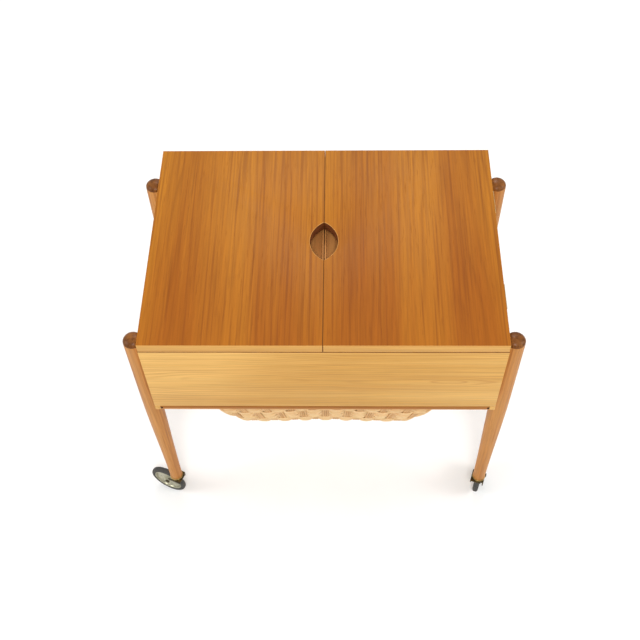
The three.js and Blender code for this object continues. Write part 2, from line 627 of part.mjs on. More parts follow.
// Casters at opposite corners point opposite ways.
addCaster(trolley, 'front_left', -LEG_X, -LEG_Y, FRONT_LEFT_HEADING);
addCaster(trolley, 'rear_right', LEG_X, LEG_Y, FRONT_LEFT_HEADING + Math.PI);
addCaster(trolley, 'front_right', LEG_X, -LEG_Y, FRONT_RIGHT_HEADING);
addCaster(trolley, 'rear_left', -LEG_X, LEG_Y, FRONT_RIGHT_HEADING + Math.PI);

export default trolley;
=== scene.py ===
"""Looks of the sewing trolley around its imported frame. Metres, +Z up, the front faces -Y."""

import math
import random

import bmesh
import bpy
import numpy as np
from mathutils import Matrix, Vector


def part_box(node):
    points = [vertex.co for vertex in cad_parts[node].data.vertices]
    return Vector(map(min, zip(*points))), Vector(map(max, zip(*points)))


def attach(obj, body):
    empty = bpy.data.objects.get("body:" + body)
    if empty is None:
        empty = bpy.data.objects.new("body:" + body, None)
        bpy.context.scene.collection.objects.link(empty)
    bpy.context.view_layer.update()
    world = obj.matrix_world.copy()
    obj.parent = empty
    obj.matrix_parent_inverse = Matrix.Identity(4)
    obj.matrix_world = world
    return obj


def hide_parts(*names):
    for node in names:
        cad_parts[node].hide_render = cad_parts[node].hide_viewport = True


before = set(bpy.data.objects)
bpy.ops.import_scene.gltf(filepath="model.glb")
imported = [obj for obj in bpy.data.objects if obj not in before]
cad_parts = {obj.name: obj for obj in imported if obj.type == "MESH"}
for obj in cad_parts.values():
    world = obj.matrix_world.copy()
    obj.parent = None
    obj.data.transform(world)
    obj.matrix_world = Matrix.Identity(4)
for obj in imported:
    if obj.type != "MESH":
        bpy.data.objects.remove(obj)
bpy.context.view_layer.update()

MM = 0.001
CORNERS = ("front_left", "front_right", "rear_left", "rear_right")


# ---------------------------------------------------------------- camera

LENS = 54.187
CAMERA_PLACE = (0.02983, -1.04395, 1.94401)
CAMERA_PITCH = 55.776
CAMERA_YAW = -2.253
CAMERA_ROLL = -1.855


def add_camera():
    pitch = math.radians(CAMERA_PITCH)
    tilt = Matrix(
        (
            (1, 0, 0),
            (0, -math.sin(pitch), -math.cos(pitch)),
            (0, math.cos(pitch), -math.sin(pitch)),
        )
    )
    turn = Matrix.Rotation(math.radians(CAMERA_YAW), 3, "Z")
    roll = Matrix.Rotation(math.radians(CAMERA_ROLL), 3, "Z")
    seen = roll @ tilt @ turn
    axes = Matrix((seen[0], -seen[1], -seen[2])).transposed()
    data = bpy.data.cameras.new("camera")
    data.lens = LENS
    data.clip_end = 50
    camera = bpy.data.objects.new("camera", data)
    bpy.context.scene.collection.objects.link(camera)
    camera.matrix_world = Matrix.Translation(CAMERA_PLACE) @ axes.to_4x4()
    bpy.context.scene.camera = camera


add_camera()


# ---------------------------------------------------------------- material nodes


def srgb(red, green, blue):
    """Linear colour from sRGB bytes."""

    def linear(byte):
        value = byte / 255
        return value / 12.92 if value <= 0.04045 else ((value + 0.055) / 1.055) ** 2.4

    return (linear(red), linear(green), linear(blue), 1)


class Graph:
    """The nodes of one material."""

    def __init__(self, name):
        self.material = bpy.data.materials.new(name)
        self.material.use_nodes = True
        self.tree = self.material.node_tree
        self.tree.nodes.clear()

    def make(self, kind, inputs=(), **settings):
        """A node; inputs maps a socket's name or index to a value or to another node's output."""
        node = self.tree.nodes.new("ShaderNode" + kind)
        for key, value in settings.items():
            setattr(node, key, value)
        for key, value in dict(inputs).items():
            if isinstance(value, bpy.types.NodeSocket):
                self.tree.links.new(value, node.inputs[key])
            else:
                node.inputs[key].default_value = value
        return node

    def object_place(self):
        return self.make("TexCoord").outputs["Object"]

    def stretch(self, vector, by):
        return self.make("VectorMath", {0: vector, 1: by}, operation="MULTIPLY").outputs[0]

    def math(self, operation, a, b=0.0):
        return self.make("Math", {0: a, 1: b}, operation=operation).outputs[0]

    def noise(self, vector, scale=1.0, detail=2.0, rough=0.5):
        inputs = {"Vector": vector, "Scale": scale, "Detail": detail, "Roughness": rough}
        return self.make("TexNoise", inputs).outputs["Fac"]

    def ramp(self, factor, *stops):
        node = self.make("ValToRGB", {"Fac": factor})
        elements = node.color_ramp.elements
        while len(elements) < len(stops):
            elements.new(1)
        for element, (position, colour) in zip(elements, stops):
            element.position = position
            element.color = colour if hasattr(colour, "__len__") else (colour,) * 3 + (1,)
        return node.outputs["Color"]

    def span(self, value, low, high, to_low=0.0, to_high=1.0):
        """value mapped from low..high to to_low..to_high, held at both ends."""
        inputs = {0: value, 1: low, 2: high, 3: to_low, 4: to_high}
        return self.make("MapRange", inputs, clamp=True).outputs[0]

    def mix(self, factor, a, b, blend="MIX"):
        node = self.make("Mix", {0: factor, 6: a, 7: b}, data_type="RGBA", blend_type=blend)
        return node.outputs[2]

    def bump(self, height, distance, strength=1.0):
        inputs = {"Height": height, "Distance": distance, "Strength": strength}
        return self.make("Bump", inputs).outputs["Normal"]

    def surface(self, inputs):
        shader = self.make("BsdfPrincipled", inputs)
        output = self.make("OutputMaterial")
        self.tree.links.new(shader.outputs[0], output.inputs["Surface"])
        return self.material


# ---------------------------------------------------------------- wood

FIBRE_STRETCH = (300, 7, 300)
PORE_STRETCH = (760, 24, 760)
FIGURE_STRETCH = (9, 0.7, 9)
STREAK_STRETCH = (46, 0.9, 46)
HAIR_STRETCH = (210, 3.2, 210)
# Strength of the painted highlight on the rails' lower edge.
EDGE_HIGHLIGHT_STRENGTH = 0.45
GRAIN_STRENGTH = 0.62
WOOD_RELIEF = 0.00012
WOOD_SPECULAR = 0.13
WOOD_COAT = 0.02
HALF_FACE = 0.3


def wood(
    name,
    light,
    dark,
    line,
    axes="xyz",
    seed=0.0,
    heart=(0.0, -0.05),
    slope=0.0,
    ring=0.008,
    ring_strength=0.5,
    pore_strength=0.3,
    gloss=0.5,
    sway=0.006,
    bands=None,
    run=None,
    edge_highlight=None,
    hairs=0.42,
):
    """Solid wood as a field of growth rings round a wandering heart line.

    axes names the directions across the board, along the grain and through the board. heart is
    where the heart lies across and through, slope is how fast it dives along the grain, and
    bands are (place, tone) pairs, with the place as a share of 0.3 m from the middle, that
    lighten or darken the face. run is the same for the place along the grain, from -0.3 m to
    0.3 m, and paints light and shade along the board. The argument after run is (low, high), the
    heights between which the wood fades from a pale painted highlight, light caught by the lower
    edge. hairs is the strength of the fine dark lines."""
    g = Graph(name)
    place = g.make("SeparateXYZ", {0: g.object_place()})
    across, along, through = (place.outputs[axis.upper()] for axis in axes)
    board = g.make("CombineXYZ", {0: across, 1: along, 2: through}).outputs[0]
    shifted = g.make("VectorMath", {0: board, 1: (seed, seed * 1.7, seed * 0.6)}, operation="ADD")
    board = shifted.outputs[0]

    drift = g.noise(g.stretch(board, (5, 1.6, 5)), detail=3)
    wander = g.noise(g.stretch(board, (1.2, 2.4, 1.2)), detail=2)
    from_heart = g.math("SUBTRACT", across, heart[0])
    from_heart = g.math("ADD", from_heart, g.span(drift, 0.25, 0.75, -sway, sway))
    depth = g.math("SUBTRACT", through, heart[1])
    depth = g.math("ADD", depth, g.math("MULTIPLY", along, slope))
    depth = g.math("ADD", depth, g.span(wander, 0.25, 0.75, -sway * 1.6, sway * 1.6))
    squares = g.math("ADD", g.math("MULTIPLY", from_heart, from_heart), g.math("MULTIPLY", depth, depth))
    radius = g.math("SQRT", squares)
    waver = g.noise(g.stretch(board, (60, 3, 60)), detail=2)
    rings = g.math("ADD", g.math("DIVIDE", radius, ring), g.span(waver, 0.2, 0.8, -0.3, 0.3))
    growth = g.math("FRACT", rings)
    late = g.ramp(growth, (0.0, 0.25), (0.1, 0.0), (0.55, 0.12), (0.88, 1.0), (1.0, 0.25))
    presence = g.noise(g.stretch(board, (30, 1.3, 30)), detail=2)
    late = g.math("MULTIPLY", late, g.span(presence, 0.38, 0.66, 0.12, 1.0))

    figure = g.noise(g.stretch(board, FIGURE_STRETCH), detail=4, rough=0.55)
    streak = g.noise(g.stretch(board, STREAK_STRETCH), detail=3, rough=0.6)
    fibre = g.noise(g.stretch(board, FIBRE_STRETCH), detail=3, rough=0.65)
    pores = g.noise(g.stretch(board, PORE_STRETCH), detail=2, rough=0.6)

    tone = g.math("ADD", g.span(figure, 0.3, 0.7), g.span(streak, 0.3, 0.7, -0.35, 0.35))
    if bands:
        from_middle = g.math("ABSOLUTE", across)
        swayed = g.math("ADD", from_middle, g.span(drift, 0.25, 0.75, -0.012, 0.012))
        face = g.ramp(g.span(swayed, 0.0, HALF_FACE), *bands)
        tone = g.math("ADD", g.math("MULTIPLY", tone, 0.5), g.math("MULTIPLY", face, 0.6))
    # Painted light and shade along the board: a ramp of lighter and darker tone by the place along the
    # grain.
    if run:
        patchy = g.math("ADD", along, g.span(figure, 0.3, 0.7, -0.05, 0.05))
        painted_light_ramp = g.ramp(g.span(patchy, -HALF_FACE, HALF_FACE), *run)
        tone = g.math("ADD", g.math("MULTIPLY", tone, 0.7), painted_light_ramp)
    colour = g.mix(g.span(tone, 0.0, 1.0), light, dark)
    colour = g.mix(g.math("MULTIPLY", late, ring_strength), colour, line)
    grain = g.ramp(fibre, (0.34, 0.72), (0.66, 1.0))
    colour = g.mix(GRAIN_STRENGTH, colour, grain, "MULTIPLY")
    hair = g.noise(g.stretch(board, HAIR_STRETCH), detail=2, rough=0.5)
    colour = g.mix(g.span(hair, 0.52, 0.68, 0.0, hairs), colour, line)
    pore = g.span(pores, 0.6, 0.72)
    colour = g.mix(g.math("MULTIPLY", pore, pore_strength), colour, line)
    # Painted highlight: the lowest few millimetres fade to a pale tone, standing in for light caught by the
    # lower edge.
    if edge_highlight:
        height = place.outputs["Z"]
        colour = g.mix(g.span(height, edge_highlight[0], edge_highlight[1], EDGE_HIGHLIGHT_STRENGTH, 0.0), colour, EDGE_HIGHLIGHT_TONE)

    relief = g.math("SUBTRACT", g.math("MULTIPLY", fibre, 0.4), pore)
    rough = g.math("ADD", g.span(fibre, 0.3, 0.7, gloss - 0.06, gloss + 0.06), g.math("MULTIPLY", pore, 0.1))
    return g.surface(
        {
            "Base Color": colour,
            "Roughness": rough,
            "Normal": g.bump(relief, WOOD_RELIEF, 0.5),
            "Specular IOR Level": WOOD_SPECULAR,
            "Coat Weight": WOOD_COAT,
            "Coat Roughness": 0.3,
        }
    )


# Pale tone of the painted highlight on the rails' lower edge.
EDGE_HIGHLIGHT_TONE = srgb(232, 176, 118)
TEAK_LIGHT = srgb(192, 125, 34)
TEAK_DARK = srgb(156, 87, 20)
TEAK_LINE = srgb(112, 55, 15)
# Painted shade: the leaves grow darker towards the front.
TEAK_PAINTED_SHADE_RUN = ((0.0, 0.56), (0.3, 0.44), (0.6, 0.18), (1.0, 0.0))
TEAK_BANDS = (
    (0.0, 0.1), (0.1, 0.4), (0.22, 0.95), (0.38, 0.8), (0.46, 0.15), (0.6, 0.1), (0.78, 1.0),
    (0.94, 0.7), (1.0, 0.2),
)
HONEY_LIGHT = srgb(240, 192, 112)
HONEY_DARK = srgb(212, 160, 82)
HONEY_LINE = srgb(182, 122, 56)
# Painted light: the front board is lighter towards its left end and darkest a little right of the middle.
HONEY_PAINTED_LIGHT_RUN = ((0.0, 0.0), (0.2, 0.05), (0.36, 0.45), (0.6, 0.6), (0.85, 0.35), (1.0, 0.2))
LEG_LIGHT = srgb(212, 152, 82)
LEG_DARK = srgb(186, 122, 58)
LEG_LINE = srgb(142, 84, 36)
INNER_LIGHT = srgb(224, 156, 88)
INNER_DARK = srgb(202, 130, 68)
INNER_LINE = srgb(148, 92, 46)
RAIL_LIGHT = srgb(192, 128, 54)
RAIL_DARK = srgb(160, 98, 34)
RAIL_LINE = srgb(118, 66, 22)
# The dark browns of the finger hole's walls are painted shade.
EYE_LIGHT = srgb(140, 78, 40)
EYE_DARK = srgb(100, 52, 26)
EYE_LINE = srgb(60, 32, 18)
TEAK = (TEAK_LIGHT, TEAK_DARK, TEAK_LINE)
HONEY = (HONEY_LIGHT, HONEY_DARK, HONEY_LINE)
LEG = (LEG_LIGHT, LEG_DARK, LEG_LINE)
INNER = (INNER_LIGHT, INNER_DARK, INNER_LINE)
RAIL = (RAIL_LIGHT, RAIL_DARK, RAIL_LINE)
EYE = (EYE_LIGHT, EYE_DARK, EYE_LINE)
CAP = (srgb(152, 98, 48), srgb(100, 58, 26), srgb(62, 34, 16))

left_teak = wood(
    "teak_left", *TEAK, "xyz", 3.1, (-0.2, 0.55), 0.02, 0.0085, 0.34, 0.4, 0.5, 0.004, TEAK_BANDS,
    TEAK_PAINTED_SHADE_RUN,
)
right_teak = wood(
    "teak_right", *TEAK, "xyz", 8.4, (0.22, 0.56), 0.045, 0.0085, 0.34, 0.4, 0.5, 0.005, TEAK_BANDS,
    TEAK_PAINTED_SHADE_RUN,
)
front_honey = wood(
    "honey_face", *HONEY, "zxy", 1.3, (0.535, -0.2), 0.05, 0.0062, 0.45, 0.2, 0.5, 0.014,
    run=HONEY_PAINTED_LIGHT_RUN, hairs=0.26,
)
side_honey = wood(
    "honey_side", *HONEY, "zyx", 5.7, (0.52, 0.12), 0.07, 0.006, 0.26, 0.2, 0.5, 0.008
)
LIPPING = (srgb(234, 184, 105), srgb(208, 152, 76), srgb(178, 116, 52))
lipping = wood("honey_lipping", *LIPPING, "zxy", 9.9, (0.2, 0.1), 0.01, 0.006, 0.25, 0.2)
side_lipping = wood("honey_side_lipping", *LIPPING, "zyx", 2.9, (0.2, 0.1), 0.01, 0.006, 0.25, 0.2)
# Painted shade: the finger hole's walls in a dark brown.
eye_wall_painted_shade = wood("finger_hole_painted_shade", *EYE, "zxy", 5.1, (0.6, 0.0), 0.01, 0.004, 0.4, 0.3, 0.6)
# Painted shade: a mid brown on the panels' upper edge, standing in for the shade in the gap under the
# leaves.
upper_edge_painted_shade = wood(
    "box_rim_painted_shade", srgb(158, 100, 48), srgb(124, 74, 34), srgb(80, 44, 20), "zyx", 3.3, ring=0.006
)
# Painted shadow: a near-black brown inside the rails' grooves.
groove_painted_shadow = wood(
    "groove_shadow", srgb(72, 42, 20), srgb(48, 28, 13), srgb(28, 16, 9), "zyx", 3.3, ring=0.006
)
# Painted highlight: a pale tone on the finger hole's rounded edge.
arris_painted_highlight = wood(
    "finger_hole_rim_painted_highlight", srgb(232, 176, 104), srgb(214, 154, 82), srgb(176, 116, 56), "zxy", 6.6, ring=0.006
)
# Painted shade: a darker brown on the leaves' faces beside the seam, standing in for the shade in the gap.
seam_painted_shade = wood("leaf_seam_painted_shade", srgb(150, 92, 36), srgb(118, 66, 24), srgb(76, 40, 14), "zyx", 2.1, ring=0.006)
inner_wood = wood("inner_wood", *INNER, "xyz", 4.4, (0.1, 0.3), 0.02, 0.007, 0.35, 0.25, 0.55)
inner_cross = wood("inner_wood_cross", *INNER, "yxz", 6.2, (0.1, 0.3), 0.02, 0.007, 0.35, 0.25, 0.55)
leg_wood = wood("leg_wood", *LEG, "xzy", 7.7, (0.05, 0.1), 0.04, 0.006, 0.35, 0.4, 0.45)
RAIL_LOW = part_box("basket_front_rail")[0].z
# Heights of the painted highlight along the rails' lower edge.
RAIL_EDGE_HIGHLIGHT = (RAIL_LOW + 1.5 * MM, RAIL_LOW + 4.5 * MM)
rail_wood = wood(
    "rail_wood", *RAIL, "yxz", 2.2, (0.1, 0.2), 0.02, 0.006, 0.35, 0.25, 0.5, edge_highlight=RAIL_EDGE_HIGHLIGHT
)
side_rail_wood = wood("side_rail_wood", *RAIL, "xyz", 3.8, (0.1, 0.2), 0.02, 0.006, 0.35, 0.25, 0.5)
cap_wood = wood("cap_end_grain", *CAP, "xzy", 1.9, (0.3, 0.12), 0.02, 0.0024, 0.5, 0.6, 0.3)


# ---------------------------------------------------------------- metal, rubber and cane


def metal(name, clean, dull, dirt, rough, wear_scale=90.0):
    g = Graph(name)
    place = g.object_place()
    cloud = g.noise(place, wear_scale, 4, 0.6)
    speck = g.noise(place, wear_scale * 9, 2, 0.6)
    scratch = g.noise(g.stretch(place, (1400, 60, 60)), 1, 2)
    colour = g.mix(g.span(cloud, 0.35, 0.65), clean, dull)
    colour = g.mix(g.span(speck, 0.6, 0.75, 0.0, 0.6), colour, dirt)
    cloudy = g.span(cloud, 0.3, 0.7, rough - 0.08, rough + 0.12)
    roughness = g.math("ADD", cloudy, g.span(scratch, 0.55, 0.8, 0.0, 0.12))
    relief = g.math("ADD", g.math("MULTIPLY", speck, 0.5), scratch)
    return g.surface(
        {
            "Base Color": colour,
            "Metallic": 1.0,
            "Roughness": roughness,
            "Normal": g.bump(relief, 0.00005, 0.4),
        }
    )


brass = metal("brass", srgb(206, 178, 112), srgb(160, 140, 88), srgb(94, 82, 54), 0.32)
disc_brass = metal("disc_brass", srgb(190, 184, 158), srgb(138, 138, 118), srgb(92, 88, 66), 0.3, 45.0)
bronze = metal("bronze", srgb(96, 84, 56), srgb(64, 56, 40), srgb(34, 30, 22), 0.42)
steel = metal("steel", srgb(176, 176, 170), srgb(138, 138, 132), srgb(84, 80, 72), 0.35)


def rubber_material():
    g = Graph("tyre_rubber")
    place = g.object_place()
    cloud = g.noise(place, 70, 4, 0.6)
    dust = g.noise(place, 900, 3, 0.7)
    colour = g.mix(g.span(cloud, 0.3, 0.7), srgb(46, 45, 43), srgb(74, 72, 68))
    colour = g.mix(g.span(dust, 0.58, 0.75, 0.0, 0.5), colour, srgb(128, 122, 112))
    return g.surface(
        {
            "Base Color": colour,
            "Roughness": g.span(cloud, 0.3, 0.7, 0.55, 0.8),
            "Normal": g.bump(dust, 0.0001, 0.5),
            "Specular IOR Level": 0.4,
        }
    )


rubber = rubber_material()


def cane_material(name, pale, warm, brown):
    """Split cane. Each strand has its own tone, with fibres along it and darker knots and nicks."""
    g = Graph(name)
    tone = g.make("Attribute", attribute_name="tone").outputs["Fac"]
    strand = g.make("UVMap", uv_map="strand").outputs[0]
    place = g.object_place()
    fibre = g.noise(g.stretch(strand, (60, 14, 1)), 1, 3, 0.6)
    patch = g.noise(place, 60, 3, 0.6)
    nick = g.noise(place, 420, 2, 0.6)
    colour = g.mix(tone, pale, warm)
    colour = g.mix(g.span(patch, 0.4, 0.75, 0.0, 0.55), colour, warm)
    colour = g.mix(g.span(fibre, 0.5, 0.75, 0.0, 0.5), colour, brown)
    colour = g.mix(g.span(nick, 0.66, 0.76, 0.0, 0.6), colour, brown)
    return g.surface(
        {
            "Base Color": colour,
            "Roughness": g.span(patch, 0.3, 0.7, 0.42, 0.62),
            "Normal": g.bump(fibre, 0.00015, 0.5),
            "Specular IOR Level": 0.25,
            "Subsurface Weight": 0.05,
            "Subsurface Radius": (0.004, 0.002, 0.001),
        }
    )


cane = cane_material("cane_weavers", srgb(240, 208, 158), srgb(228, 186, 130), srgb(186, 136, 84))
# The stakes' darker tan is partly their own colour and partly painted shade, deepening the dark patches
# where the weavers pass behind them.
stake_cane_tan_and_shade = cane_material("cane_stakes_tan_and_shade", srgb(222, 178, 124), srgb(204, 158, 104), srgb(156, 110, 68))


# ---------------------------------------------------------------- pieces


def piece(name, mesh, body, replaced=(), materials=()):
    obj = bpy.data.objects.new(name, mesh)
    bpy.context.scene.collection.objects.link(obj)
    for material in materials:
        mesh.materials.append(material)
    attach(obj, body)
    if replaced:
        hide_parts(*replaced)
    return obj


SHARP = math.radians(35)


def mesh_from(bm, name):
    """The mesh of bm, smooth except at its sharp edges."""
    for face in bm.faces:
        face.smooth = True
    for edge in bm.edges:
        if len(edge.link_faces) == 2:
            edge.smooth = edge.calc_face_angle() < SHARP
    mesh = bpy.data.meshes.new(name)
    bm.to_mesh(mesh)
    bm.free()
    return mesh


def eased_mesh(node, ease, segments=2):
    """A CAD node's solid with its sharp edges rounded over."""
    bm = bmesh.new()
    bm.from_mesh(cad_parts[node].data)
    bmesh.ops.remove_doubles(bm, verts=bm.verts, dist=2e-6)
    bmesh.ops.dissolve_limit(
        bm, angle_limit=math.radians(0.5), verts=bm.verts, edges=bm.edges, delimit=set()
    )
    edges = [
        e for e in bm.edges if len(e.link_faces) == 2 and e.calc_face_angle() > SHARP
    ]
    bmesh.ops.bevel(
        bm, geom=edges, offset=ease, segments=segments, profile=0.6, affect="EDGES",
        clamp_overlap=True,
    )
    return bm


def eased(node, body, ease, materials, pick=None, name=None, shift=None):
    """A replacement for a CAD board. pick chooses a face's material by its normal and middle,
    and shift moves a vertex."""
    bm = eased_mesh(node, ease)
    if shift:
        for vert in bm.verts:
            shift(vert)
    if pick:
        bm.normal_update()
        for face in bm.faces:
            face.material_index = pick(face.normal, face.calc_center_median())
    mesh = mesh_from(bm, name or node + "_eased")
    return piece(name or node + "_board", mesh, body, [node], materials)


EYE_HALF_LENGTH = 41.5 * MM
EYE_HALF_WIDTH = 25.5 * MM


def leaf_face(normal, middle):
    """0 on top and bottom, 1 on front and back, 2 on the sides, 3 in the finger hole, painted dark as
    its shade, 4 on its rounded edge, painted pale as a highlight, 5 beside the seam, painted darker
    as the shade of the gap."""
    if abs(middle.x) < 2 * MM:
        return 5
    in_eye = abs(middle.y) < EYE_HALF_LENGTH and abs(middle.x) < EYE_HALF_WIDTH
    if in_eye and abs(normal.z) < 0.98:
        return 4 if normal.z > 0.2 else 3
    if abs(normal.z) > 0.6:
        return 0
    return 1 if abs(normal.y) > abs(normal.x) else 2


def panel_face(normal, middle):
    """1 on the upper edge, which the closed leaf covers and which takes a mid brown as painted shade of the
    gap under the leaf, 0 elsewhere.
    """
    return 1 if normal.z > 0.2 and middle.z > PANEL_TOP - 2 * MM else 0


GROOVE_DEPTH = 4.2 * MM
RAIL_END_SKIN = 0.2 * MM


def rail_face(normal, middle):
    """1 inside the groove that runs on the side panel's ridge, painted near black as its shadow, 0
    elsewhere.
    """
    low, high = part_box("basket_front_rail")
    in_height = low.z + 2 * MM < middle.z < high.z - 2 * MM
    end = high.x - abs(middle.x)
    inside = end > RAIL_END_SKIN or abs(normal.z) > 0.5
    return 1 if in_height and end < GROOVE_DEPTH and inside else 0


PANEL_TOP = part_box("front_panel")[1].z
EASE = 0.9 * MM

for name in ("front_panel", "back_panel"):
    eased(name, "box", EASE, [front_honey, upper_edge_painted_shade], panel_face)
for name in ("left_side_panel", "right_side_panel"):
    eased(name, "box", EASE, [side_honey, upper_edge_painted_shade], panel_face)
eased("box_bottom", "box", 0.4 * MM, [inner_wood])
eased("front_tray_ledge", "box", 0.8 * MM, [inner_cross])
eased("back_tray_ledge", "box", 0.8 * MM, [inner_cross])
edge_woods = [lipping, side_lipping, eye_wall_painted_shade, arris_painted_highlight, seam_painted_shade]
SEAM_HALF = 0.16 * MM
SOLID_SEAM_HALF = 0.5 * MM
SEAM_REACH = 0.004


def close_seam(vert):
    """Bring the meeting edge to a hair's breadth from the middle plane."""
    if abs(vert.co.x) < SEAM_REACH:
        near = 1 - abs(vert.co.x) / SEAM_REACH
        vert.co.x -= math.copysign((SOLID_SEAM_HALF - SEAM_HALF) * near, vert.co.x)


for leaf, teak in (("left_leaf", left_teak), ("right_leaf", right_teak)):
    eased(leaf, leaf, 0.6 * MM, [teak, *edge_woods], leaf_face, shift=close_seam)
for side in ("left", "right"):
    eased(f"{side}_tray", f"{side}_tray", 0.9 * MM, [inner_wood])
for end in ("front", "back"):
    woods = [rail_wood, groove_painted_shadow]
    eased(f"basket_{end}_rail", "basket_drawer", 0.7 * MM, woods, rail_face)
for side in ("left", "right"):
    woods = [side_rail_wood, groove_painted_shadow]
    eased(f"basket_{side}_rail", "basket_drawer", 0.7 * MM, woods, rail_face)


# ---------------------------------------------------------------- turned pieces


def turned_mesh(name, profile, segments, place, closed=False):
    """A solid of revolution. profile lists (radius, height); place is the matrix from its own
    frame, where the axis is Z, to the row frame."""
    bm = bmesh.new()
    rings = []
    for radius, height in profile:
        if radius < 1e-7:
            rings.append([bm.verts.new(place @ Vector((0, 0, height)))])
            continue
        turn = [2 * math.pi * k / segments for k in range(segments)]
        points = [(radius * math.cos(a), radius * math.sin(a), height) for a in turn]
        rings.append([bm.verts.new(place @ Vector(p)) for p in points])
    pairs = list(zip(rings, rings[1:]))
    if closed:
        pairs.append((rings[-1], rings[0]))
    for low, high in pairs:
        for k in range(segments):
            after = (k + 1) % segments
            corners = [low[k % len(low)], low[after % len(low)]]
            corners += [high[after % len(high)], high[k % len(high)]]
            unique = list(dict.fromkeys(corners))
            if len(unique) > 2:
                bm.faces.new(unique)
    bmesh.ops.recalc_face_normals(bm, faces=bm.faces)
    return mesh_from(bm, name)


def upright(x, y, z=0.0):
    return Matrix.Translation((x, y, z))


def rounded(profile, radius, steps=4):
    """profile with each inner corner replaced by an arc."""
    out = [profile[0]]
    for before, corner, after in zip(profile, profile[1:], profile[2:]):
        corner_v = Vector(corner)
        to_before = Vector(before) - corner_v
        to_after = Vector(after) - corner_v
        reach = min(radius, to_before.length * 0.45, to_after.length * 0.45)
        start = corner_v + to_before.normalized() * reach
        end = corner_v + to_after.normalized() * reach
        for step in range(steps + 1):
            t = step / steps
            out.append(tuple(start.lerp(corner_v, t).lerp(corner_v.lerp(end, t), t)))
    out.append(profile[-1])
    return out


LEG_TURNS = 64
TAPER_TOP = 0.42
FOOT_RADIUS = 12.4 * MM
UPPER_RADIUS = 17.3 * MM


def leg_radius(height, foot):
    t = min(max((height - foot) / (TAPER_TOP - foot), 0), 1)
    return FOOT_RADIUS + (UPPER_RADIUS - FOOT_RADIUS) * t * t * (3 - 2 * t)


def add_leg(corner):
    low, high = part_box(corner + "_leg")
    x, y = (low.x + high.x) / 2, (low.y + high.y) / 2
    cap_low, cap_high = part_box(corner + "_leg_cap")
    cap_radius = (cap_high.x - cap_low.x) / 2
    seam = high.z + 0.3 * MM
    ease = 1.0 * MM
    profile = [(0, low.z), (leg_radius(low.z, low.z) - ease, low.z)]
    profile += [(leg_radius(low.z, low.z) - 0.3 * MM, low.z + 0.3 * MM)]
    steps = 24
    for step in range(steps + 1):
        height = low.z + ease + (TAPER_TOP - low.z) * step / steps
        profile.append((leg_radius(height, low.z), height))
    profile += [(cap_radius + 0.1 * MM, high.z - 6 * MM), (cap_radius, high.z - 0.8 * MM)]
    profile += [(cap_radius - 0.7 * MM, high.z), (0, high.z)]
    mesh = turned_mesh(corner + "_leg", profile, LEG_TURNS, upright(x, y))
    piece(corner + "_turned_leg", mesh, "box", [corner + "_leg"], [leg_wood])

    dome = cap_high.z - seam
    profile = [(0, seam - 6 * MM), (cap_radius * 0.5, seam - 6 * MM), (cap_radius * 0.5, seam)]
    profile += [(cap_radius - 0.8 * MM, seam), (cap_radius - 0.15 * MM, seam + 0.5 * MM)]
    rows = 12
    for row in range(1, rows):
        angle = math.pi / 2 * row / rows
        profile.append((cap_radius * math.cos(angle), seam + dome * math.sin(angle)))
    profile.append((0, seam + dome))
    mesh = turned_mesh(corner + "_cap", profile, LEG_TURNS, upright(x, y))
    piece(corner + "_turned_cap", mesh, "box", [corner + "_leg_cap"], [cap_wood])


for corner in CORNERS:
    add_leg(corner)


# ---------------------------------------------------------------- casters


def caster_frame(corner):
    """The swivel axis, the axle's middle and the axle's direction, from the CAD pieces."""
    low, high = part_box(corner + "_caster_ferrule")
    pin = Vector(((low.x + high.x) / 2, (low.y + high.y) / 2, 0))
    low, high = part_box(corner + "_caster_tyre")
    hub = (low + high) / 2
    trail = Vector((hub.x - pin.x, hub.y - pin.y, 0)).normalized()
    axle = Vector((-trail.y, trail.x, 0))
    return pin, hub, trail, axle


def about(origin, axis, forward):
    """The matrix from a frame whose Z is axis and whose X is forward."""
    across = axis.cross(forward)
    turned = Matrix((forward, across, axis)).transposed().to_4x4()
    return Matrix.Translation(origin) @ turned


WHEEL_TURNS = 72
WHEEL_RADIUS = 39.5 * MM
DISC_RADIUS = 31.4 * MM
TYRE_HALF = 6 * MM


def millimetres(pairs):
    return [(a * MM, b * MM) for a, b in pairs]


def add_wheel(corner):
    _, hub, trail, axle = caster_frame(corner)
    place = about(hub, axle, trail)
    disc = rounded(
        millimetres(
            [
                (3.3, -10.2), (7, -10.2), (8, -4), (9.5, -2.4), (17, -1.7), (20, -2.6),
                (25, -2.6), (27.4, -1.2), (28.6, -5.2), (31.2, -5.2), (31.2, 5.2), (28.6, 5.2),
                (27.2, 1.6), (25, 3.2), (20.5, 3.2), (18, 2.2), (11.5, 2.4), (9.8, 4.4),
                (7.6, 6.6), (3.3, 6.8),
            ]
        ),
        0.9 * MM,
    )
    mesh = turned_mesh(corner + "_disc", disc, WHEEL_TURNS, place, closed=True)
    piece(
        corner + "_wheel_disc", mesh, corner + "_wheel", [corner + "_caster_disc"], [disc_brass]
    )
    tyre = rounded(
        millimetres(
            [
                (31.7, 0), (31.7, -4.8), (32.8, -6), (36.4, -5.7), (38.9, -3.8), (39.5, 0),
                (38.9, 3.8), (36.4, 5.7), (32.8, 6), (31.7, 4.8), (31.7, 0.2),
            ]
        ),
        1.4 * MM,
    )
    mesh = turned_mesh(corner + "_tyre", tyre, WHEEL_TURNS, place, closed=True)
    piece(
        corner + "_wheel_tyre", mesh, corner + "_wheel", [corner + "_caster_tyre"], [rubber]
    )


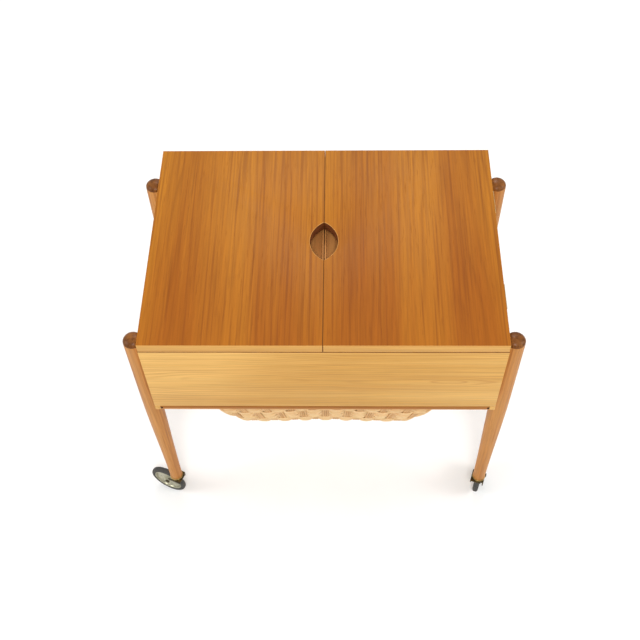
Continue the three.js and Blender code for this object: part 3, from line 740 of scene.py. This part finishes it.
def add_axle(corner):
    _, hub, trail, axle = caster_frame(corner)
    place = about(hub, axle, trail)
    rivet = rounded(
        millimetres(
            [
                (0, -15.4), (2.6, -15.3), (4.8, -14.4), (5, -13.4), (3, -13.3), (3, 7.2),
                (5, 7.3), (4.8, 8.0), (2.8, 8.6), (0, 8.7),
            ]
        ),
        0.5 * MM,
    )
    mesh = turned_mesh(corner + "_axle", rivet, 32, place)
    piece(corner + "_axle_rivet", mesh, corner + "_caster", [corner + "_caster_axle"], [bronze])


def add_ferrule(corner):
    """The socket with a shallow cup round the leg's foot."""
    pin = caster_frame(corner)[0]
    low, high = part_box(corner + "_caster_ferrule")
    flange = low.z
    profile = rounded(
        [
            (4.3 * MM, flange), (13.3 * MM, flange), (13.5 * MM, flange + 4.6 * MM),
            (12.6 * MM, flange + 4.8 * MM), (12.6 * MM, flange + 1.8 * MM),
            (6.2 * MM, flange + 1.8 * MM), (6.2 * MM, high.z), (0, high.z),
        ],
        0.5 * MM,
    )
    profile = [(0, high.z - 3 * MM), (4.3 * MM, high.z - 3 * MM)] + profile
    mesh = turned_mesh(corner + "_ferrule", profile, 40, upright(pin.x, pin.y))
    piece(
        corner + "_socket_ferrule", mesh, "box", [corner + "_caster_ferrule"], [brass]
    )


def plate(bm, low, high, place):
    """A box between two corners of the place's own frame."""
    corners = [
        (x, y, z) for x in (low[0], high[0]) for y in (low[1], high[1]) for z in (low[2], high[2])
    ]
    verts = [bm.verts.new(place @ Vector(corner)) for corner in corners]
    sides = ((0, 1, 3, 2), (4, 6, 7, 5), (0, 4, 5, 1), (2, 3, 7, 6), (0, 2, 6, 4), (1, 5, 7, 3))
    for side in sides:
        bm.faces.new([verts[index] for index in side])


HOOD_FRONT = -15.5 * MM
HOOD_REAR = 5.5 * MM
HOOD_EDGE = 14.5 * MM
HOOD_ARM_SIDE = -7.5 * MM
HOOD_GAP = 0.7 * MM
SKIRT_REAR = 13 * MM
SKIRT_DROP = 6 * MM
SHEET = 2 * MM


def add_hood(corner):
    """The pressed plate over the tyre, beside the bracket's arm."""
    pin, _, trail, _ = caster_frame(corner)
    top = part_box(corner + "_caster_ferrule")[0].z - HOOD_GAP
    place = about(Vector((pin.x, pin.y, 0)), Vector((0, 0, 1)), trail)
    bm = bmesh.new()
    plate(bm, (HOOD_FRONT, HOOD_ARM_SIDE, top - SHEET), (HOOD_REAR, HOOD_EDGE, top), place)
    skirt_low = (HOOD_FRONT, HOOD_EDGE - SHEET, top - SKIRT_DROP)
    plate(bm, skirt_low, (SKIRT_REAR, HOOD_EDGE, top - 0.01 * MM), place)
    bmesh.ops.recalc_face_normals(bm, faces=bm.faces)
    bmesh.ops.bevel(
        bm, geom=list(bm.edges), offset=0.5 * MM, segments=2, profile=0.6, affect="EDGES",
        clamp_overlap=True,
    )
    mesh = mesh_from(bm, corner + "_hood")
    piece(corner + "_caster_hood", mesh, corner + "_caster", (), [bronze])


for corner in CORNERS:
    add_hood(corner)
    add_wheel(corner)
    add_axle(corner)
    add_ferrule(corner)
    eased(
        corner + "_caster_bracket", corner + "_caster", 0.45 * MM, [bronze],
        name=corner + "_pressed_bracket",
    )


# ---------------------------------------------------------------- hinges, bolts and screws


def slotted_head(name, place, radius, rise, slot_width=0.16):
    """A low domed screw head with a driver slot, along the Z of place."""
    width = radius * slot_width
    deep = rise * 0.7
    bm = bmesh.new()
    rows, turns = 5, 28
    grid = []
    for row in range(rows + 1):
        angle = math.pi / 2 * row / rows
        ring = []
        for k in range(turns):
            a = 2 * math.pi * k / turns
            r = radius * math.cos(angle) if row < rows else radius * 0.08
            ring.append(bm.verts.new((r * math.cos(a), r * math.sin(a), rise * math.sin(angle))))
        grid.append(ring)
    for low, high in zip(grid, grid[1:]):
        for k in range(turns):
            bm.faces.new((low[k], low[(k + 1) % turns], high[(k + 1) % turns], high[k]))
    bm.faces.new(grid[-1])
    base = [bm.verts.new(v.co - Vector((0, 0, rise))) for v in grid[0]]
    for k in range(turns):
        bm.faces.new((base[k], base[(k + 1) % turns], grid[0][(k + 1) % turns], grid[0][k]))
    bm.faces.new(list(reversed(base)))
    mesh = bpy.data.meshes.new(name)
    bm.to_mesh(mesh)
    bm.free()
    head = bpy.data.objects.new(name, mesh)
    bpy.context.scene.collection.objects.link(head)
    knife_mesh = bpy.data.meshes.new("knife")
    knife_bm = bmesh.new()
    bmesh.ops.create_cube(knife_bm, size=1)
    knife_bm.to_mesh(knife_mesh)
    knife_bm.free()
    knife = bpy.data.objects.new("knife", knife_mesh)
    knife.scale = (radius * 2.4, width * 2, deep * 2)
    knife.location = (0, 0, rise)
    bpy.context.scene.collection.objects.link(knife)
    cutter = head.modifiers.new("slot", "BOOLEAN")
    cutter.operation = "DIFFERENCE"
    cutter.object = knife
    cutter.solver = "EXACT"
    bpy.context.view_layer.update()
    shown = head.evaluated_get(bpy.context.evaluated_depsgraph_get())
    cut = bpy.data.meshes.new_from_object(shown)
    bpy.data.objects.remove(knife)
    bpy.data.objects.remove(head)
    cut.transform(place)
    return cut


def joined(name, meshes):
    bm = bmesh.new()
    for mesh in meshes:
        bm.from_mesh(mesh)
    return mesh_from(bm, name)


def turn_to(direction):
    return Vector(direction).to_track_quat("Z", "Y").to_matrix().to_4x4()


SCREW_RADIUS = 2.3 * MM
SCREW_RISE = 0.12 * MM
SCREW_SINK = 0.3 * MM
SCREW_PITCH = 17 * MM
SCREW_ROW = 5.2 * MM
BOLT_HEAD = 8 * MM
BOLT_RISE = 3.4 * MM
BOLT_RADIUS = 3.9 * MM


def hinge_screws(corner, part, body, up):
    """Three screws in a hinge plate, on the face that shows when the leaf is open."""
    low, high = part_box(f"{corner}_hinge_{part}")
    side = -1 if "left" in corner else 1
    inner = low.x if side > 0 else high.x
    x = inner + side * SCREW_ROW
    middle = (low.y + high.y) / 2
    z = (low.z + high.z) / 2 - up * SCREW_SINK
    heads = []
    random.seed(f"{corner}{part}")
    for step in (-1, 0, 1):
        y = middle + step * SCREW_PITCH
        spin = Matrix.Rotation(random.uniform(0, math.pi), 4, "Z")
        spot = x + (1.6 * MM if step == 0 else -1.2 * MM) * side
        place = Matrix.Translation((spot, y, z)) @ turn_to((0, 0, up)) @ spin
        heads.append(slotted_head("head", place, SCREW_RADIUS, SCREW_RISE))
    mesh = joined(f"{corner}_{part}_screws", heads)
    piece(f"{corner}_{part}_screws", mesh, body, (), [brass])


for corner in CORNERS:
    leaf = "left_leaf" if "left" in corner else "right_leaf"
    eased(
        f"{corner}_hinge_box_plate", "box", 0.2 * MM, [brass], name=f"{corner}_box_plate"
    )
    eased(
        f"{corner}_hinge_leaf_plate", leaf, 0.2 * MM, [brass], name=f"{corner}_leaf_plate"
    )
    hinge_screws(corner, "box_plate", "box", 1)
    hinge_screws(corner, "leaf_plate", leaf, -1)
    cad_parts[f"{corner}_hinge_pin"].data.materials.clear()
    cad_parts[f"{corner}_hinge_pin"].data.materials.append(steel)


def add_bolt(corner):
    """The leg's bolt, seen as a domed slotted head inside the box."""
    low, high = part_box(f"{corner}_leg_bolt")
    side = -1 if "left" in corner else 1
    inner = low.x if side > 0 else high.x
    y, z = (low.y + high.y) / 2, (low.z + high.z) / 2
    facing = (-side, 0, 0)
    place = Matrix.Translation((inner + side * 3.6 * MM, y, z)) @ turn_to(facing)
    head = slotted_head("head", place, BOLT_HEAD, BOLT_RISE, slot_width=0.12)
    outer = high.x if side > 0 else low.x
    length = abs(outer - inner) - 4 * MM
    shank_place = Matrix.Translation((inner + side * 4 * MM, y, z)) @ turn_to((side, 0, 0))
    profile = rounded([(0, 0), (BOLT_RADIUS, 0), (BOLT_RADIUS, length), (0, length)], 0.4 * MM)
    shank = turned_mesh("shank", profile, 24, shank_place)
    mesh = joined(f"{corner}_bolt", [head, shank])
    piece(f"{corner}_slotted_bolt", mesh, "box", [f"{corner}_leg_bolt"], [steel])


for corner in CORNERS:
    add_bolt(corner)


# ---------------------------------------------------------------- woven basket

random.seed(11)
STAKES = 70
STEPS_PER_STAKE = 6
LOOPS = 50
BAND = 11
BAND_START = 6
STRAND = 1.5 * MM
STRAND_FLAT = 0.92
ROD_FLAT = 0.7
LOWEST_BAND = 0.76
LOWEST_SWING = 0.55
STAKE_ROD = 2.0 * MM
STAKE_GAP = 3.9 * MM
WEAVE_SWING = 3.3 * MM
BASE_INSET = 5 * MM
BASE_LIFT = 3.4 * MM
MIDDLE_SAG = 7 * MM

BASKET_LOW, BASKET_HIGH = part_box("basket")
RIM_MIDDLE = BASKET_HIGH.z - 2.2 * MM
RIM_HALF_X = 260.6 * MM
RIM_HALF_Y = 193.1 * MM
HALF_X = RIM_HALF_X - BASE_INSET
HALF_Y = RIM_HALF_Y - BASE_INSET
FLOOR_Z = BASKET_LOW.z + BASE_LIFT


def side_profile():
    """(half width, half depth, corner radius, height) down the basket's side, evenly spaced."""
    top = BASKET_HIGH.z - 4.6 * MM
    keys = [
        (HALF_X, HALF_Y, 20 * MM, top),
        (HALF_X - 32 * MM, HALF_Y - 6 * MM, 34 * MM, top - 56 * MM),
        (HALF_X - 66 * MM, HALF_Y - 13 * MM, 44 * MM, FLOOR_Z + 22 * MM),
        (HALF_X - 78 * MM, HALF_Y - 20 * MM, 42 * MM, FLOOR_Z + 7 * MM),
        (HALF_X - 94 * MM, HALF_Y - 31 * MM, 34 * MM, FLOOR_Z),
    ]
    fine = []
    for k in range(len(keys) - 1):
        a = np.array(keys[max(k - 1, 0)])
        b = np.array(keys[k])
        c = np.array(keys[k + 1])
        d = np.array(keys[min(k + 2, len(keys) - 1)])
        square = 2 * a - 5 * b + 4 * c - d
        cube = 3 * b - a - 3 * c + d
        for t in np.linspace(0, 1, 20, endpoint=False):
            fine.append(0.5 * (2 * b + (c - a) * t + square * t**2 + cube * t**3))
    fine.append(np.array(keys[-1]))
    fine = np.array(fine)
    steps = np.linalg.norm(np.diff(fine[:, [1, 3]], axis=0), axis=1)
    length = np.concatenate([[0], np.cumsum(steps)])
    return fine, length / length[-1]


PROFILE, PROFILE_AT = side_profile()


def level(share):
    """The basket's half width, half depth, corner radius and height at a share of its side."""
    return [np.interp(share, PROFILE_AT, PROFILE[:, k]) for k in range(4)]


def quarter(half_x, half_y, radius, share):
    """A point and its outward direction on one quarter of a round-cornered rectangle, from the
    middle of the -Y side to the middle of the +X side."""
    first = half_x - radius
    arc = radius * math.pi / 2
    total = first + arc + half_y - radius
    run = share * total
    if run < first:
        return (run, -half_y), (0, -1)
    if run < first + arc:
        a = (run - first) / radius
        return (
            (first + radius * math.sin(a), -(half_y - radius) - radius * math.cos(a)),
            (math.sin(a), -math.cos(a)),
        )
    return (half_x, -(half_y - radius) + run - first - arc), (1, 0)


def loop_point(share, around):
    """A point on the basket's middle surface, and outward, at a place around it from 0 to 4."""
    half_x, half_y, radius, height = level(share)
    around = around % 4
    turn, part = int(around), around - int(around)
    if turn in (1, 3):
        (x, y), (nx, ny) = quarter(half_x, half_y, radius, 1 - part)
        y, ny = -y, -ny
    else:
        (x, y), (nx, ny) = quarter(half_x, half_y, radius, part)
    if turn in (2, 3):
        x, y, nx, ny = -x, -y, -nx, -ny
    sag = MIDDLE_SAG * math.exp(-((x / (70 * MM)) ** 2)) * math.sin(math.pi * min(share, 0.95))
    y -= ny * sag
    return np.array([x, y, height]), np.array([nx, ny, 0.0])


def block_wave(turn):
    """A cosine with broad crests."""
    wave = math.cos(math.pi * turn)
    return math.copysign(abs(wave) ** 0.55, wave)


def outward_at(share, around):
    """The surface's outward direction, tilted by the slope of the side."""
    _, flat = loop_point(share, around)
    above, _ = loop_point(max(share - 0.01, 0), around)
    below, _ = loop_point(min(share + 0.01, 1), around)
    down = below - above
    down /= np.linalg.norm(down)
    tilted = flat - down * np.dot(flat, down)
    return tilted / np.linalg.norm(tilted)


def tube_arrays(points, normals, radii, sides, closed):
    """Vertices, quads and corner UVs of a tube along points; radii is (across, out)."""
    points = np.array(points)
    normals = np.array(normals)
    ahead = np.roll(points, -1, axis=0) - np.roll(points, 1, axis=0)
    if not closed:
        ahead[0] = points[1] - points[0]
        ahead[-1] = points[-1] - points[-2]
    ahead /= np.linalg.norm(ahead, axis=1, keepdims=True)
    normals = normals - ahead * np.sum(normals * ahead, axis=1, keepdims=True)
    normals /= np.linalg.norm(normals, axis=1, keepdims=True)
    across = np.cross(ahead, normals)
    angles = np.arange(sides) * 2 * math.pi / sides
    radii = np.broadcast_to(np.array(radii, float), (len(points), 2))
    ring = (
        across[:, None, :] * (np.cos(angles)[None, :, None] * radii[:, None, :1])
        + normals[:, None, :] * (np.sin(angles)[None, :, None] * radii[:, None, 1:])
    )
    verts = (points[:, None, :] + ring).reshape(-1, 3)
    gaps = np.linalg.norm(np.diff(points, axis=0, append=points[:1]), axis=1)
    run = np.concatenate([[0], np.cumsum(gaps)])
    faces, uvs = [], []
    last = len(points) if closed else len(points) - 1
    for i in range(last):
        after = (i + 1) % len(points)
        for k in range(sides):
            right = (k + 1) % sides
            faces.append((i * sides + k, i * sides + right, after * sides + right, after * sides + k))
            uvs += [
                (run[i], k / sides), (run[i], (k + 1) / sides),
                (run[i + 1], (k + 1) / sides), (run[i + 1], k / sides),
            ]
    if not closed:
        faces.append(tuple(reversed(range(sides))))
        uvs += [(run[0], 0.5)] * sides
        base = (len(points) - 1) * sides
        faces.append(tuple(base + k for k in range(sides)))
        uvs += [(run[last], 0.5)] * sides
    return verts, faces, uvs


class Strands:
    """Many tubes in one mesh, each with its own tone."""

    def __init__(self):
        self.verts, self.faces, self.uvs, self.tones = [], [], [], []
        self.count = 0

    def add(self, points, normals, radii, sides=6, closed=False, tone=None):
        verts, faces, uvs = tube_arrays(points, normals, radii, sides, closed)
        self.verts.append(verts)
        self.faces += [tuple(self.count + v for v in face) for face in faces]
        self.uvs += uvs
        tone = random.random() if tone is None else tone
        self.tones += [tone] * len(verts)
        self.count += len(verts)

    def mesh(self, name):
        mesh = bpy.data.meshes.new(name)
        mesh.from_pydata(np.concatenate(self.verts).tolist(), [], self.faces)
        layer = mesh.uv_layers.new(name="strand")
        layer.data.foreach_set("uv", np.array(self.uvs, np.float32).ravel())
        attribute = mesh.attributes.new("tone", "FLOAT", "POINT")
        attribute.data.foreach_set("value", np.array(self.tones, np.float32))
        mesh.polygons.foreach_set("use_smooth", [True] * len(mesh.polygons))
        mesh.update()
        return mesh


def add_weavers():
    """The strands that run round the side, in bands that pass over and under the stakes."""
    upper, lower = Strands(), Strands()
    steps = STAKES * STEPS_PER_STAKE
    for loop in range(LOOPS):
        band, place_in_band = divmod(loop + BAND_START, BAND)
        puff = 0.6 + 0.4 * math.sin(math.pi * (place_in_band + 0.5) / BAND)
        share = (loop + 0.5) / LOOPS
        ease_in = min(1.0, 0.5 + share * 4) * (LOWEST_SWING if share > LOWEST_BAND else 1.0)
        tone = random.random()
        phase = random.uniform(-0.06, 0.06)
        points, normals = [], []
        for step in range(steps):
            around = 4 * step / steps
            point, _ = loop_point(share, around)
            normal = outward_at(share, around)
            stake = step / STEPS_PER_STAKE
            swing = block_wave(stake + phase) * (-1 if band % 2 else 1)
            jitter = random.uniform(-0.12, 0.12) * MM
            points.append(point + normal * (swing * WEAVE_SWING * puff * ease_in + jitter))
            normals.append(normal)
        weave = upper if loop < LOOPS // 2 else lower
        weave.add(points, normals, (STRAND, STRAND * STRAND_FLAT), 5, closed=True, tone=tone)
    for name, weave in (("basket_upper_weavers", upper), ("basket_lower_weavers", lower)):
        piece(name, weave.mesh(name), "basket_drawer", ["basket"], [cane])


def add_stakes():
    stakes = Strands()
    for stake in range(STAKES):
        around = 4 * stake / STAKES
        for side in (-1, 0, 1):
            points, normals = [], []
            shift = side * STAKE_GAP
            for share in np.linspace(0, 1, 22):
                half_x, half_y, radius, _ = level(share)
                perimeter = 4 * (half_x + half_y - 2 * radius) + 2 * math.pi * radius
                at = around + 4 * shift / perimeter
                points.append(loop_point(share, at)[0])
                normals.append(outward_at(share, at))
            stakes.add(points, normals, (STAKE_ROD, STAKE_ROD * ROD_FLAT), 8)
    mesh = stakes.mesh("basket_stakes")
    piece("basket_stakes", mesh, "basket_drawer", ["basket"], [stake_cane_tan_and_shade])


def add_base():
    half_x, half_y, radius, height = level(1.0)

    def reach(y):
        inside = abs(y) - (half_y - radius)
        if inside <= 0:
            return half_x
        return half_x - radius + math.sqrt(max(radius**2 - inside**2, 0))

    def reach_y(x):
        inside = abs(x) - (half_x - radius)
        if inside <= 0:
            return half_y
        return half_y - radius + math.sqrt(max(radius**2 - inside**2, 0))

    pitch = 20 * MM
    stakes = int(half_x / pitch)
    mat = Strands()
    rods = Strands()
    up = np.array([0, 0, 1.0])
    rows = int(2 * half_y / (2 * STRAND))
    for row in range(rows):
        y = -half_y + (row + 0.5) * 2 * half_y / rows
        band, place_in_band = divmod(row, BAND)
        puff = 0.72 + 0.28 * math.sin(math.pi * (place_in_band + 0.5) / BAND)
        length = reach(y)
        count = max(int(2 * length / (pitch / STEPS_PER_STAKE)), 4)
        points = []
        for step in range(count + 1):
            x = -length + 2 * length * step / count
            swing = block_wave(x / pitch) * (1 if band % 2 else -1)
            points.append(np.array([x, y, height + swing * 2.0 * MM * puff]))
        mat.add(points, [up] * len(points), (STRAND, STRAND * STRAND_FLAT), 5)
    for stake in range(-stakes, stakes + 1):
        for side in (-1, 0, 1):
            x = stake * pitch + side * STAKE_GAP
            length = reach_y(x) + 2 * MM
            points = [np.array([x, y, height]) for y in np.linspace(-length, length, 8)]
            rods.add(points, [up] * len(points), (STAKE_ROD, STAKE_ROD * ROD_FLAT), 8)
    piece("basket_base_weavers", mat.mesh("basket_base"), "basket_drawer", ["basket"], [cane])
    piece("basket_base_stakes", rods.mesh("basket_rods"), "basket_drawer", ["basket"], [stake_cane_tan_and_shade])


def add_rim():
    """A flat border wrapped round with cane, which rests in the frame's rebate."""
    rim = Strands()
    steps = 1500
    half_x = BASKET_HIGH.x - 5.6 * MM
    half_y = BASKET_HIGH.y - 5.6 * MM
    wraps = 430
    points, normals, radii = [], [], []
    for step in range(steps):
        around = 4 * step / steps
        turn, part = int(around), around - int(around)
        share = 1 - part if turn in (1, 3) else part
        (x, y), (nx, ny) = quarter(half_x, half_y, 12 * MM, share)
        if turn in (1, 3):
            y, ny = -y, -ny
        if turn in (2, 3):
            x, y, nx, ny = -x, -y, -nx, -ny
        points.append((x, y, RIM_MIDDLE))
        normals.append((nx, ny, 0))
        groove = 1 - 0.14 * (1 - abs(math.sin(math.pi * wraps * step / steps))) ** 2
        radii.append((2.15 * MM * groove, 5.3 * MM * groove))
    rim.add(points, normals, radii, 10, closed=True, tone=0.4)
    piece("basket_rim_binding", rim.mesh("basket_rim"), "basket_drawer", ["basket"], [cane])


add_weavers()
add_stakes()
add_base()
add_rim()


# ---------------------------------------------------------------- floor and light


FLOOR_REACH = 12.0
WORLD_STRENGTH = 0.62


def add_floor():
    g = Graph("studio_floor")
    place = g.object_place()
    scuff = g.noise(place, 3.0, 5, 0.6)
    colour = g.mix(g.span(scuff, 0.35, 0.7, 0.0, 1.0), (0.93, 0.93, 0.925, 1), (0.9, 0.9, 0.895, 1))
    material = g.surface({"Base Color": colour, "Roughness": 0.6, "Specular IOR Level": 0.2})
    mesh = bpy.data.meshes.new("floor")
    corners = [(-FLOOR_REACH, -FLOOR_REACH, 0), (FLOOR_REACH, -FLOOR_REACH, 0)]
    corners += [(FLOOR_REACH, FLOOR_REACH, 0), (-FLOOR_REACH, FLOOR_REACH, 0)]
    mesh.from_pydata(corners, [], [(0, 1, 2, 3)])
    mesh.materials.append(material)
    floor = bpy.data.objects.new("floor", mesh)
    bpy.context.scene.collection.objects.link(floor)


def add_light(name, place, target, size, power):
    data = bpy.data.lights.new(name, "AREA")
    data.shape = "DISK"
    data.size = size
    data.energy = power
    light = bpy.data.objects.new(name, data)
    light.location = place
    light.rotation_mode = "QUATERNION"
    light.rotation_quaternion = (Vector(target) - Vector(place)).to_track_quat("-Z", "Y")
    bpy.context.scene.collection.objects.link(light)


def add_world():
    world = bpy.data.worlds.new("studio")
    world.use_nodes = True
    background = world.node_tree.nodes["Background"]
    background.inputs["Color"].default_value = (1.0, 1.0, 1.0, 1)
    background.inputs["Strength"].default_value = WORLD_STRENGTH
    bpy.context.scene.world = world


add_floor()
add_world()
add_light("left_box", (-2.8, -0.6, 2.3), (0, 0, 0.4), 1.6, 36)
add_light("right_box", (2.9, -0.5, 2.2), (0, 0, 0.4), 1.6, 36)
add_light("camera_side", (0.05, -1.7, 2.8), (0, 0, 0.5), 0.7, 34)
add_light("back_box", (0.1, 2.3, 2.9), (0, 0, 0.6), 1.3, 30)
bpy.context.scene.view_settings.view_transform = "Standard"
